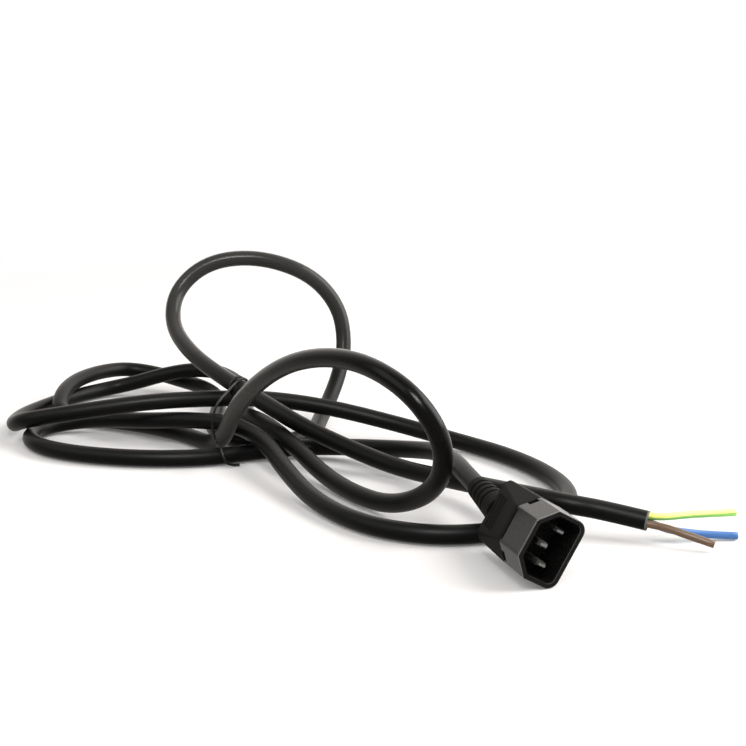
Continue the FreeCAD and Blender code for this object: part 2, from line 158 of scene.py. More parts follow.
class Wired:
    """A shader socket that takes part in Python arithmetic."""

    def __init__(self, graph: "Graph", socket: bpy.types.NodeSocket) -> None:
        """Wrap an output socket of a graph."""
        self.graph = graph
        self.socket = socket

    def _math(self, operation: str, left: Any, right: Any) -> "Wired":
        """Add one Math node.

        Args:
            operation: The Math node's operation.
            left: First value or link.
            right: Second value or link.

        Returns:
            The node's result.
        """
        return self.graph.node("ShaderNodeMath", {"operation": operation}, {0: left, 1: right})

    def __add__(self, other: Any) -> "Wired":
        """Sum."""
        return self._math("ADD", self, other)

    __radd__ = __add__

    def __sub__(self, other: Any) -> "Wired":
        """Difference."""
        return self._math("SUBTRACT", self, other)

    def __rsub__(self, other: Any) -> "Wired":
        """Reflected difference."""
        return self._math("SUBTRACT", other, self)

    def __mul__(self, other: Any) -> "Wired":
        """Product."""
        return self._math("MULTIPLY", self, other)

    __rmul__ = __mul__

    def below(self, edge: float) -> "Wired":
        """One where the value is under an edge, else nought."""
        return self._math("LESS_THAN", self, edge)

    def either(self, other: "Wired") -> "Wired":
        """The larger of two masks."""
        return self._math("MAXIMUM", self, other)

    def size(self) -> "Wired":
        """The value without its sign."""
        return self._math("ABSOLUTE", self, 0.0)

    def swing(self, amount: float) -> "Wired":
        """A noise's swing to either side of its middle, times an amount."""
        return (self - NOISE_MIDDLE) * amount

    def ramp(self, start: float, end: float, low: float, high: float) -> "Wired":
        """Smooth rise between two values.

        Args:
            start: Value where the rise starts.
            end: Value where it ends.
            low: Result before the start.
            high: Result after the end.

        Returns:
            The node's result.
        """
        return self.graph.node("ShaderNodeMapRange", {"interpolation_type": "SMOOTHSTEP"}, {
            "Value": self, "From Min": start, "From Max": end, "To Min": low, "To Max": high})


class Graph:
    """Shader graph of one material, or of the world."""

    def __init__(self, owner: bpy.types.ID, end: str) -> None:
        """Empty the owner's graph.

        Args:
            owner: The material or world.
            end: Type of its output node.
        """
        owner.use_nodes = True
        self.owner = owner
        self.tree = owner.node_tree
        self.tree.nodes.clear()
        self.output = self.tree.nodes.new(end)

    @classmethod
    def of_material(cls, name: str) -> "Graph":
        """Graph of a new material."""
        return cls(bpy.data.materials.new(name), "ShaderNodeOutputMaterial")

    @classmethod
    def of_world(cls, name: str) -> "Graph":
        """Graph of a new world, which becomes the scene's."""
        bpy.context.scene.world = bpy.data.worlds.new(name)
        return cls(bpy.context.scene.world, "ShaderNodeOutputWorld")

    def close(self, shader: bpy.types.Node) -> bpy.types.ID:
        """Link the last shader to the output.

        Args:
            shader: The last node.

        Returns:
            The finished material or world.
        """
        self.tree.links.new(shader.outputs[0], self.output.inputs["Surface"])
        return self.owner

    def raw(self, kind: str, settings: dict[str, Any], inputs: dict[Any, Any]) -> bpy.types.Node:
        """Add any node.

        Args:
            kind: The node's type.
            settings: Attributes that are set first.
            inputs: Values or links by socket name or index.

        Returns:
            The new node.
        """
        node = self.tree.nodes.new(kind)
        for key, value in settings.items():
            setattr(node, key, value)
        for key, value in inputs.items():
            if isinstance(value, Wired):
                self.tree.links.new(value.socket, node.inputs[key])
            else:
                node.inputs[key].default_value = value
        return node

    def node(self, kind: str, settings: dict[str, Any], inputs: dict[Any, Any],
             output: Any = 0) -> Wired:
        """Add any node and take one of its outputs.

        Args:
            kind: The node's type.
            settings: Attributes that are set first.
            inputs: Values or links by socket name or index.
            output: Name or index of the output.

        Returns:
            The wrapped output.
        """
        return Wired(self, self.raw(kind, settings, inputs).outputs[output])

    def place(self) -> Wired:
        """Object coordinates."""
        return self.node("ShaderNodeTexCoord", {}, {}, "Object")

    def uv(self) -> Wired:
        """The piece's own UV map."""
        return self.node("ShaderNodeUVMap", {"uv_map": "along"}, {})

    def split(self, vector: Wired) -> list[Wired]:
        """The X, Y and Z of a vector."""
        parts = self.raw("ShaderNodeSeparateXYZ", {}, {"Vector": vector})
        return [Wired(self, parts.outputs[axis]) for axis in "XYZ"]

    def stretch(self, where: Wired, scale: Point) -> Wired:
        """Coordinates scaled along each axis."""
        return self.node("ShaderNodeMapping", {}, {"Vector": where, "Scale": scale})

    def noise(self, where: Wired, size: float, detail: float) -> Wired:
        """Soft noise whose spots are about a given size.

        Args:
            where: Coordinates in metres.
            size: Size of a spot in metres.
            detail: Finer layers of noise.

        Returns:
            Values round one half.
        """
        return self.node("ShaderNodeTexNoise", {}, {
            "Vector": where, "Scale": 1.0 / size, "Detail": detail}, "Fac")

    def blend(self, share: Any, low: Any, high: Any) -> Wired:
        """Mix two colours.

        Args:
            share: Share of the second colour.
            low: First colour.
            high: Second colour.

        Returns:
            The mixed colour.
        """
        node = self.raw("ShaderNodeMix", {"data_type": "RGBA"}, {})
        factor, first, second = (node.inputs[i] for i in (0, 6, 7))
        for socket, value in ((factor, share), (first, low), (second, high)):
            if isinstance(value, Wired):
                self.tree.links.new(value.socket, socket)
            elif isinstance(value, tuple):
                socket.default_value = (*value, 1.0)
            else:
                socket.default_value = value
        return Wired(self, node.outputs[2])

    def bump(self, height: Wired, depth: float, strength: float) -> Wired:
        """Normal of a fine relief.

        Args:
            height: Relief from nought to one.
            depth: Depth of the relief in metres.
            strength: Share of the relief that shows.

        Returns:
            The normal.
        """
        return self.node("ShaderNodeBump", {}, {
            "Height": height, "Distance": depth, "Strength": strength})

    def principled(self, inputs: dict[str, Any]) -> bpy.types.Material:
        """Close the graph with a Principled shader.

        Args:
            inputs: Values or links of the shader's sockets.

        Returns:
            The finished material.
        """
        return self.close(self.raw("ShaderNodeBsdfPrincipled", {}, inputs))


@dataclass(frozen=True)
class MouldedFinish:
    """Black plastic or rubber: patches of two tones, a grain and, on some, a painted highlight line
    along the rim.
    """

    name: str
    dark: Colour
    light: Colour
    roughness: float
    spread: float
    specular: float
    grain: float
    grain_depth: float
    grain_strength: float
    patch: float = 18.0 * MM
    # A painted highlight line round the front rim: where it lies along Y, its half width, its
    # colour and how strongly it shows.
    rim_at: float | None = None
    rim_half: float = 0.38 * MM
    rim_highlight_colour: Colour = (0.14, 0.136, 0.13)
    rim_share: float = 0.4
    rim_patches: float = 0.8

    def material(self) -> bpy.types.Material:
        """Build the finish.

        Returns:
            The material.
        """
        graph = Graph.of_material(self.name)
        where = graph.place()
        patches = graph.noise(where, self.patch, detail=3.0)
        grain = graph.noise(where, self.grain, detail=1.0)
        colour = graph.blend(patches, self.dark, self.light)
        # Painted highlight: a pale line painted round the rim's edges, inside and out.
        if self.rim_at is not None:
            _, depth, _ = graph.split(where)
            off_rim = (depth - self.rim_at).size()
            painted_highlight = off_rim.ramp(self.rim_half / 2, self.rim_half, 1.0, 0.0)
            share = painted_highlight * (self.rim_share + self.rim_patches * patches)
            colour = graph.blend(share, colour, self.rim_highlight_colour)
        roughness = self.roughness + patches.swing(self.spread) + grain.swing(self.spread / 2)
        return graph.principled({
            "Base Color": colour,
            "Roughness": roughness,
            "Normal": graph.bump(grain, self.grain_depth, self.grain_strength),
            "Specular IOR Level": self.specular,
        })


@dataclass(frozen=True)
class SheathFinish:
    """Extruded cord sheath: black, with draw lines and scuffs.

    It is smoother where it stands clear of the floor, with a painted sheen there towards the back,
    and a painted highlight over one stretch of its length.
    """

    name: str = "cord_sheath_black"
    dark: Colour = (0.0030, 0.0029, 0.0027)
    light: Colour = (0.0062, 0.0060, 0.0056)
    # Colour of a painted sheen that lightens the standing loops towards the back, and the heights
    # and depths where it shows.
    painted_sheen: Colour = (0.036, 0.0348, 0.0325)
    clear_heights: Span = (14.0 * MM, 60.0 * MM)
    painted_sheen_depths: Span = (80.0 * MM, 220.0 * MM)
    # Colour of a painted pale highlight over one stretch of the cord, and where along it the
    # highlight rises and falls.
    painted_highlight: Colour = (0.046, 0.0445, 0.0415)
    painted_highlight_from: Span = (1.59, 1.68)
    painted_highlight_to: Span = (1.698, 1.715)
    least_share: float = 0.5
    roughness: float = 0.42
    polish: float = 0.2
    scuff_spread: float = 0.16
    line_spread: float = 0.06
    specular: float = 0.13
    line_scale: Point = (20.0, 90.0, 1.0)
    line_depth: float = 0.04 * MM
    line_strength: float = 0.35
    scuff: float = 30.0 * MM

    def material(self) -> bpy.types.Material:
        """Build the finish.

        Returns:
            The material.
        """
        graph = Graph.of_material(self.name)
        uv = graph.uv()
        where = graph.place()
        lines = graph.noise(graph.stretch(uv, self.line_scale), 1.0, detail=1.0)
        scuffs = graph.noise(where, self.scuff, detail=4.0)
        patchy = self.least_share + scuffs
        _, depth, height = graph.split(where)
        along, _, _ = graph.split(uv)
        clear = height.ramp(*self.clear_heights, 0.0, 1.0)
        # Painted sheen: the cord is painted lighter where it stands clear of the floor towards the
        # back.
        painted_sheen_mask = clear * depth.ramp(*self.painted_sheen_depths, 0.0, 1.0)
        # Painted highlight: one stretch along the cord is painted paler.
        marked_stretch = along.ramp(*self.painted_highlight_from, 0.0, 1.0) * along.ramp(*self.painted_highlight_to, 1.0, 0.0)
        colour = graph.blend(scuffs, self.dark, self.light)
        colour = graph.blend(painted_sheen_mask * patchy, colour, self.painted_sheen)
        colour = graph.blend(marked_stretch * patchy, colour, self.painted_highlight)
        roughness = (self.roughness - clear * self.polish + scuffs.swing(self.scuff_spread)
                     + lines.swing(self.line_spread))
        return graph.principled({
            "Base Color": colour,
            "Roughness": roughness,
            "Normal": graph.bump(lines, self.line_depth, self.line_strength),
            "Specular IOR Level": self.specular,
        })


@dataclass(frozen=True)
class MetalFinish:
    """Plated or drawn metal with fine streaks along the plug's axis."""

    name: str
    dark: Colour
    light: Colour
    roughness: float
    streak: float = 1.2 * MM
    streak_scale: Point = (1.0, 0.06, 1.0)
    streak_spread: float = 0.2
    streak_depth: float = 0.03 * MM
    streak_strength: float = 0.3
    tarnish: float = 4.0 * MM
    tarnish_spread: float = 0.1

    def material(self) -> bpy.types.Material:
        """Build the finish.

        Returns:
            The material.
        """
        graph = Graph.of_material(self.name)
        where = graph.place()
        streaks = graph.noise(graph.stretch(where, self.streak_scale), self.streak, detail=2.0)
        tarnish = graph.noise(where, self.tarnish, detail=3.0)
        roughness = (self.roughness + streaks.swing(self.streak_spread)
                     + tarnish.swing(self.tarnish_spread))
        return graph.principled({
            "Base Color": graph.blend(tarnish, self.dark, self.light),
            "Metallic": 1.0,
            "Roughness": roughness,
            "Normal": graph.bump(streaks, self.streak_depth, self.streak_strength),
        })


@dataclass(frozen=True)
class InsulationFinish:
    """Smooth core insulation in one colour, or in two colours along its length."""

    name: str
    main: Colour
    stripe: Colour | None = None
    stripe_middle: float = 0.43
    stripe_half: float = 0.18
    stripe_twist: float = 1.2
    stripe_wander: float = 0.03
    wander: float = 12.0 * MM
    shade: float = 0.92
    mottle: float = 6.0 * MM
    mottle_spread: float = 0.12
    grain: float = 0.5 * MM
    grain_depth: float = 0.03 * MM
    grain_strength: float = 0.25
    roughness: float = 0.38
    specular: float = 0.4

    def material(self) -> bpy.types.Material:
        """Build the finish.

        Returns:
            The material.
        """
        graph = Graph.of_material(self.name)
        where = graph.place()
        mottle = graph.noise(where, self.mottle, detail=3.0)
        colour = graph.blend(mottle, tuple(self.shade * c for c in self.main), self.main)
        if self.stripe is not None:
            along, around, _ = graph.split(graph.uv())
            wander = graph.noise(where, self.wander, detail=1.0).swing(self.stripe_wander)
            turned = around + (wander + along * self.stripe_twist)
            striped = (turned - self.stripe_middle).size().below(self.stripe_half)
            colour = graph.blend(striped, colour, self.stripe)
        grain = graph.noise(where, self.grain, detail=1.0)
        return graph.principled({
            "Base Color": colour,
            "Roughness": self.roughness + mottle.swing(self.mottle_spread),
            "Normal": graph.bump(grain, self.grain_depth, self.grain_strength),
            "Specular IOR Level": self.specular,
        })


# The shroud has a painted highlight line at its front rim.
SHROUD_FINISH = MouldedFinish(
    "shroud_black", dark=(0.0050, 0.0048, 0.0045), light=(0.0085, 0.0083, 0.0078),
    roughness=0.27, spread=0.06, specular=0.38,
    grain=0.5 * MM, grain_depth=0.01 * MM, grain_strength=0.06, rim_at=-34.6 * MM)
BODY_FINISH = MouldedFinish(
    "body_black", dark=(0.0058, 0.0055, 0.0050), light=(0.0105, 0.0101, 0.0093),
    roughness=0.65, spread=0.16, specular=0.055,
    grain=0.4 * MM, grain_depth=0.06 * MM, grain_strength=0.5)
TIE_FINISH = MouldedFinish(
    "tie_black", dark=(0.004, 0.004, 0.004), light=(0.008, 0.008, 0.008),
    roughness=0.42, spread=0.1, specular=0.3,
    grain=0.4 * MM, grain_depth=0.03 * MM, grain_strength=0.3)
CUT_FINISH = MouldedFinish(
    "sheath_cut", dark=(0.07, 0.068, 0.066), light=(0.13, 0.128, 0.125),
    roughness=0.6, spread=0.1, specular=0.3,
    grain=0.3 * MM, grain_depth=0.05 * MM, grain_strength=0.5)
PIN_FINISH = MetalFinish(
    "pin_nickel", dark=(0.84, 0.83, 0.80), light=(0.95, 0.94, 0.91), roughness=0.3)
COPPER_FINISH = MetalFinish(
    "core_copper", dark=(0.68, 0.36, 0.2), light=(0.86, 0.52, 0.33), roughness=0.28)
INSULATION: dict[Core, InsulationFinish] = {
    Core.LINE: InsulationFinish("line_brown", (0.158, 0.094, 0.053)),
    Core.NEUTRAL: InsulationFinish("neutral_blue", (0.062, 0.172, 0.44)),
    Core.EARTH: InsulationFinish("earth_green_yellow", (1.0, 0.94, 0.23), (0.3, 0.64, 0.15)),
}


def spline_line(route: Sequence[Vector], steps: int) -> list[Vector]:
    """Points of the smooth NURBS line that has a route as its control points.

    Args:
        route: Control points in metres.
        steps: Points of the line for each control point.

    Returns:
        Points along the line, in order.
    """
    curve = bpy.data.curves.new("route", "CURVE")
    curve.dimensions = "3D"
    curve.resolution_u = steps
    spline = curve.splines.new("NURBS")
    spline.points.add(len(route) - 1)
    for point, place in zip(spline.points, route):
        point.co = (*place, 1.0)
    spline.order_u = LINE_ORDER
    spline.use_endpoint_u = True
    holder = bpy.data.objects.new("route", curve)
    bpy.context.collection.objects.link(holder)
    graph = bpy.context.evaluated_depsgraph_get()
    mesh = bpy.data.meshes.new_from_object(holder.evaluated_get(graph))
    line = [v.co.copy() for v in mesh.vertices]
    bpy.data.objects.remove(holder)
    bpy.data.curves.remove(curve)
    bpy.data.meshes.remove(mesh)
    return line


def line_length(line: Sequence[Vector]) -> float:
    """Length of a line of points."""
    return sum((b - a).length for a, b in zip(line, line[1:]))


def carried_frames(line: Sequence[Vector], up: Vector) -> list[Matrix]:
    """Frames carried along a line without twist.

    Args:
        line: Points in order.
        up: Direction that the first frame's side axis leans to.

    Returns:
        One 4x4 matrix for each point, with its Z axis along the line.
    """
    frames = []
    side = up.copy()
    for i, here in enumerate(line):
        along = (line[min(i + 1, len(line) - 1)] - line[max(i - 1, 0)]).normalized()
        side = (side - along * side.dot(along)).normalized()
        other = along.cross(side)
        turn = Matrix((side, other, along)).transposed().to_4x4()
        frames.append(Matrix.Translation(here) @ turn)
    return frames


@dataclass
class Ring:
    """One ring of a tube: its frame, its radius, its place along the line and its vertices."""

    frame: Matrix
    radius: float
    along: float
    verts: list[bmesh.types.BMVert] = field(default_factory=list)

    def lay(self, mesh: bmesh.types.BMesh, segments: int) -> None:
        """Add the ring's vertices to a mesh.

        Args:
            mesh: The tube's mesh.
            segments: How many vertices the ring has.
        """
        for k in range(segments):
            turn = FULL_TURN * k / segments
            spot = Vector((self.radius * math.cos(turn), self.radius * math.sin(turn), 0))
            self.verts.append(mesh.verts.new(self.frame @ spot))


@dataclass
class Tube:
    """Closed round tube along a line, with softened cut ends and a bore at its far end."""

    name: str
    line: list[Vector]
    radius: float
    bore: float
    bore_depth: float
    segments: int
    edge: float
    marked_stretch: float = 0.0
    up: Vector = field(default_factory=lambda: Vector((0, 0, 1)))

    def rings(self) -> list[Ring]:
        """Rings from the middle of the near face, along the outside, and down into the bore.

        Returns:
            The rings in order, without the two poles.
        """
        frames = carried_frames(self.line, self.up)
        total = line_length(self.line)
        rings = [Ring(frames[0], self.radius - self.edge, 0.0), Ring(frames[0], self.radius, 0.0)]
        travelled = 0.0
        for i in range(1, len(self.line)):
            travelled += (self.line[i] - self.line[i - 1]).length
            if travelled < total - max(self.edge, self.marked_stretch):
                rings.append(Ring(frames[i], self.radius, travelled))
        if self.marked_stretch > self.edge:
            before = frames[-1] @ Matrix.Translation((0, 0, -self.marked_stretch))
            rings.append(Ring(before, self.radius, total - self.marked_stretch))
        back = frames[-1] @ Matrix.Translation((0, 0, -self.edge))
        rings.append(Ring(back, self.radius, total - self.edge))
        rings.append(Ring(frames[-1], self.radius - self.edge, total))
        rings.append(Ring(frames[-1], self.bore + self.edge, total))
        rings.append(Ring(back, self.bore, total - self.edge))
        travelled = 0.0
        for i in range(len(self.line) - 2, 0, -1):
            travelled += (self.line[i] - self.line[i + 1]).length
            if self.edge < travelled < self.bore_depth:
                rings.append(Ring(frames[i], self.bore, total - travelled))
        return rings

    def band(self, mesh: bmesh.types.BMesh, layer: bmesh.types.BMLayerItem, near: Ring, far: Ring,
             finish: int) -> None:
        """Add the faces between two rings.

        Args:
            mesh: The tube's mesh.
            layer: Its UV map.
            near: The first ring.
            far: The ring after it.
            finish: Index of the faces' material.
        """
        for k in range(self.segments):
            after = (k + 1) % self.segments
            face = mesh.faces.new((near.verts[k], near.verts[after],
                                   far.verts[after], far.verts[k]))
            face.smooth = True
            face.material_index = finish
            here, there = k / self.segments, (k + 1) / self.segments
            spots = ((near, here), (near, there), (far, there), (far, here))
            for corner, (ring, turn) in zip(face.loops, spots):
                corner[layer].uv = (ring.along, turn)

    def build(self, *materials: bpy.types.Material) -> bpy.types.Object:
        """Make the tube's mesh, with a UV map in metres along and turns around.

        Args:
            materials: The tube's finish, and that of its worn far end where it has one.

        Returns:
            The new object.
        """
        mesh = bmesh.new()
        layer = mesh.loops.layers.uv.new("along")
        worn_from = line_length(self.line) - self.marked_stretch * SLACK
        rings = self.rings()
        for ring in rings:
            ring.lay(mesh, self.segments)
        for near, far in zip(rings, rings[1:]):
            at_end = near.along > worn_from and near.radius > self.bore
            self.band(mesh, layer, near, far, int(self.marked_stretch > 0 and at_end))
        first, last = rings[0], rings[-1]
        for ring, verts in ((first, first.verts[::-1]), (last, last.verts)):
            for corner in mesh.faces.new(verts).loops:
                corner[layer].uv = (ring.along, 0.0)
        bmesh.ops.recalc_face_normals(mesh, faces=mesh.faces)
        return finish_piece(mesh, self.name, materials)


def finish_piece(mesh: bmesh.types.BMesh, name: str,
                 materials: Sequence[bpy.types.Material]) -> bpy.types.Object:
    """Turn a bmesh into an object that rides on the part.

    Args:
        mesh: The mesh, which is freed.
        name: The piece's name.
        materials: Its materials.

    Returns:
        The new object.
    """
    data = bpy.data.meshes.new(name)
    mesh.to_mesh(data)
    mesh.free()
    for material in materials:
        data.materials.append(material)
    piece = bpy.data.objects.new(name, data)
    bpy.context.collection.objects.link(piece)
    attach(piece, BODY)
    log.info("%s has %d faces", name, len(data.polygons))
    return piece


@dataclass
class StrandBundle:
    """Twisted bare strands that follow a line: one in the middle, then rings of six and twelve."""

    name: str
    line: list[Vector]
    strand: float = 0.3 * MM
    twist: float = 190.0
    sides: int = 8

    def tree(self) -> bpy.types.GeometryNodeTree:
        """Build the node tree that sweeps the strands along the line, or take it if it is there.

        Returns:
            The tree, with named inputs.
        """
        tree = bpy.data.node_groups.get("strand_bundle")
        if tree is not None:
            return tree
        tree = bpy.data.node_groups.new("strand_bundle", "GeometryNodeTree")
        for name, kind in (("Line", "Geometry"), ("Strand", "Float"), ("Twist", "Float"),
                           ("Sides", "Int"), ("Finish", "Material")):
            tree.interface.new_socket(name, in_out="INPUT", socket_type="NodeSocket" + kind)
        tree.interface.new_socket("Strands", in_out="OUTPUT", socket_type="NodeSocketGeometry")
        given = tree.nodes.new("NodeGroupInput").outputs
        result = tree.nodes.new("NodeGroupOutput")

        def add(kind: str, inputs: dict[Any, Any], operation: str = "") -> bpy.types.NodeSocket:
            """Add one node to the tree.

            Args:
                kind: The node's type.
                inputs: Values or links by socket name or index.
                operation: A Math node's operation.

            Returns:
                The node's first output.
            """
            node = tree.nodes.new(kind)
            if operation:
                node.operation = operation
            for key, value in inputs.items():
                if isinstance(value, bpy.types.NodeSocket):
                    tree.links.new(value, node.inputs[key])
                else:
                    node.inputs[key].default_value = value
            return node.outputs[0]

        double = add("ShaderNodeMath", {0: given["Strand"], 1: 2.0}, "MULTIPLY")
        half = add("ShaderNodeMath", {0: given["Strand"], 1: 0.5}, "MULTIPLY")
        middle = add("GeometryNodePoints", {"Count": 1})
        inner = add("GeometryNodeMeshCircle", {"Vertices": INNER_RING, "Radius": given["Strand"]})
        outer = add("GeometryNodeMeshCircle", {"Vertices": OUTER_RING, "Radius": double})
        places = tree.nodes.new("GeometryNodeJoinGeometry")
        for part in (outer, inner, middle):
            tree.links.new(part, places.inputs[0])
        wire = add("GeometryNodeCurvePrimitiveCircle", {
            "Resolution": given["Sides"], "Radius": half})
        spread = add("GeometryNodeInstanceOnPoints", {
            "Points": places.outputs[0], "Instance": wire})
        profile = add("GeometryNodeRealizeInstances", {"Geometry": spread})
        path = add("GeometryNodeMeshToCurve", {"Mesh": given["Line"]})
        along = tree.nodes.new("GeometryNodeSplineParameter").outputs["Length"]
        turn = add("ShaderNodeMath", {0: along, 1: given["Twist"]}, "MULTIPLY")
        tilted = add("GeometryNodeSetCurveTilt", {"Curve": path, "Tilt": turn})
        swept = add("GeometryNodeCurveToMesh", {
            "Curve": tilted, "Profile Curve": profile, "Fill Caps": True})
        real = add("GeometryNodeRealizeInstances", {"Geometry": swept})
        done = add("GeometryNodeSetMaterial", {"Geometry": real, "Material": given["Finish"]})
        tree.links.new(done, result.inputs[0])
        return tree

    def build(self, material: bpy.types.Material) -> bpy.types.Object:
        """Make the strands as a plain mesh.

        Args:
            material: Their finish.

        Returns:
            The new object.
        """
        data = bpy.data.meshes.new(self.name + "_line")
        data.from_pydata(self.line, [(i, i + 1) for i in range(len(self.line) - 1)], [])
        piece = bpy.data.objects.new(self.name, data)
        bpy.context.collection.objects.link(piece)
        nodes = piece.modifiers.new("strands", "NODES")
        tree = self.tree()
        nodes.node_group = tree
        values = {"Strand": self.strand, "Twist": self.twist, "Sides": self.sides,
                  "Finish": material}
        for socket in tree.interface.items_tree:
            if socket.in_out == "INPUT" and socket.name in values:
                nodes[socket.identifier] = values[socket.name]
        graph = bpy.context.evaluated_depsgraph_get()
        plain = bpy.data.meshes.new_from_object(piece.evaluated_get(graph))
        piece.modifiers.clear()
        piece.data = plain
        plain.name = self.name
        log.info("%s has %d faces", self.name, len(plain.polygons))
        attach(piece, BODY)
        return piece


def dress(node: str, material: bpy.types.Material) -> None:
    """Give a solid of the part its finish.

    Args:
        node: The solid's name.
        material: The finish.
    """
    piece = frame["nodes"][node]
    piece.data.materials.clear()
    piece.data.materials.append(material)
    log.info("dressed %s with %s", node, material.name)


@dataclass
class Cord:
    """The sheath along its whole route."""

    diameter: float = 8.2 * MM
    sheath_wall: float = 0.75 * MM
    cut_depth: float = 6.0 * MM
    cut_edge: float = 0.12 * MM
    cut_worn: float = 0.7 * MM
    length: float = 2.66
    exit_at: Point = (1.307, 69.886, 17.805)
    segments: int = 28
    steps: int = 7

    def build(self, pieces: Sequence[bpy.types.Object]) -> bpy.types.Object:
        """Args:
            pieces: What sits on the cord. It is not used.

        Returns:
            The sheath.
        """
        line = spline_line(to_frame(CORD_ROUTE), self.steps)
        radius = self.diameter / 2
        tube = Tube("sheath", line, radius=radius, bore=radius - self.sheath_wall,
                    bore_depth=self.cut_depth, segments=self.segments, edge=self.cut_edge,
                    marked_stretch=self.cut_worn)
        sheath = tube.build(SheathFinish().material(), CUT_FINISH.material())
        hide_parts("cord_sheath")
        log.info("sheath %.3f m", line_length(line))
        return sheath


@dataclass
class StrippedEnd:
    """Three cores that come out of the cut sheath, each with its strands of copper."""

    core_diameter: float = 3.1 * MM
    copper_diameter: float = 1.6 * MM
    spread: float = 1.9
    straight: float = 2.5
    socket: float = 4.0
    segments: int = 28
    steps: int = 10
    cut_edge: float = 0.08 * MM
    angles: dict[Core, float] = field(default_factory=lambda: {
        Core.EARTH: 100.0, Core.LINE: -20.0, Core.NEUTRAL: 220.0})
    routes: dict[Core, list[Point]] = field(default_factory=lambda: {
        Core.EARTH: [(80.4, 36, 8.7), (91.7, 37.2, 7.5), (102.2, 37.3, 6.8)],
        Core.LINE: [(65, 28.2, 7.2), (70.4, 22, 5.6), (78.9, 15, 3)],
        Core.NEUTRAL: [(67.6, 32, 4.9), (74.3, 30.3, 3.7), (83.4, 28.5, 2.1), (95.5, 24.5, 1.7)],
    })

    def route(self, core: Core) -> list[Vector]:
        """Control points of one core, from inside the sheath to its cut end.

        Args:
            core: Which core.

        Returns:
            Points in metres.
        """
        end, before = Vector(CORD_ROUTE[-1]), Vector(CORD_ROUTE[-2])
        along = (end - before).normalized()
        side = along.cross(Vector((0, 0, 1))).normalized()
        up = side.cross(along)
        turn = math.radians(self.angles[core])
        mouth = end + (side * math.cos(turn) + up * math.sin(turn)) * self.spread
        start = [mouth - along * self.socket, mouth + along * self.straight]
        return to_frame([*start, *self.routes[core]])

    def build_core(self, core: Core) -> list[bpy.types.Object]:
        """Make one core's insulation and its copper.

        Args:
            core: Which core.

        Returns:
            The two pieces.
        """
        line = spline_line(self.route(core), self.steps)
        tube = Tube(core.value + "_core", line, radius=self.core_diameter / 2,
                    bore=self.copper_diameter / 2, bore_depth=line_length(line),
                    segments=self.segments, edge=self.cut_edge)
        insulation = tube.build(INSULATION[core].material())
        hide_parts(core.value + "_tail_core")
        strands = StrandBundle(core.value + "_strands", line).build(COPPER_FINISH.material())
        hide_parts(core.value + "_tail_copper")
        return [insulation, strands]

    def build(self) -> list[bpy.types.Object]:
        """Make the three cores.

        Returns:
            Every piece of the stripped end.
        """
        pieces = []
        for core in Core:
            pieces += self.build_core(core)
        return pieces


@dataclass
class WireTie:
    """Thin coated wire round the middle of the bundle."""

    diameter: float = 1.3 * MM
    segments: int = 12
    steps: int = 8
    cut_edge: float = 0.1 * MM
    bore: float = 0.25 * MM

    def build(self) -> bpy.types.Object:
        """Make the tie.

        Returns:
            The tie.
        """
        line = spline_line(to_frame(TIE_ROUTE), self.steps)
        tube = Tube("tie", line, radius=self.diameter / 2, bore=self.bore,
                    bore_depth=self.cut_edge * 2, segments=self.segments, edge=self.cut_edge)
        tie = tube.build(TIE_FINISH.material())
        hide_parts("wire_tie")
        return tie


@dataclass
class Plug:
    """The moulded plug: its solids keep their shapes and get their finishes."""

    shroud: str = "pin_carrier"
    body: str = "plug_body"

    def build(self) -> None:
        """Dress the plug's solids."""
        dress(self.shroud, SHROUD_FINISH.material())
        dress(self.body, BODY_FINISH.material())
        pin = PIN_FINISH.material()
        copper = COPPER_FINISH.material()
        for core in Core:
            dress(core.value + "_pin", pin)
            dress(core.value + "_lead_copper", copper)
            dress(core.value + "_lead_core", INSULATION[core].material())


@dataclass(frozen=True)
class Lamp:
    """One soft square lamp over the floor."""

    name: str
    place: Point
    size: float
    power: float
    lights_matte: bool = True

    def hang(self, aim: Point) -> None:
        """Make the lamp.

        Args:
            aim: Where it points, in metres.
        """
        data = bpy.data.lights.new(self.name, "AREA")
        data.size = self.size
        data.energy = self.power
        lamp = bpy.data.objects.new(self.name, data)
        lamp.location = self.place
        toward = Vector(aim) - Vector(self.place)
        lamp.rotation_euler = toward.to_track_quat("-Z", "Y").to_euler()
        lamp.visible_diffuse = self.lights_matte
        bpy.context.collection.objects.link(lamp)


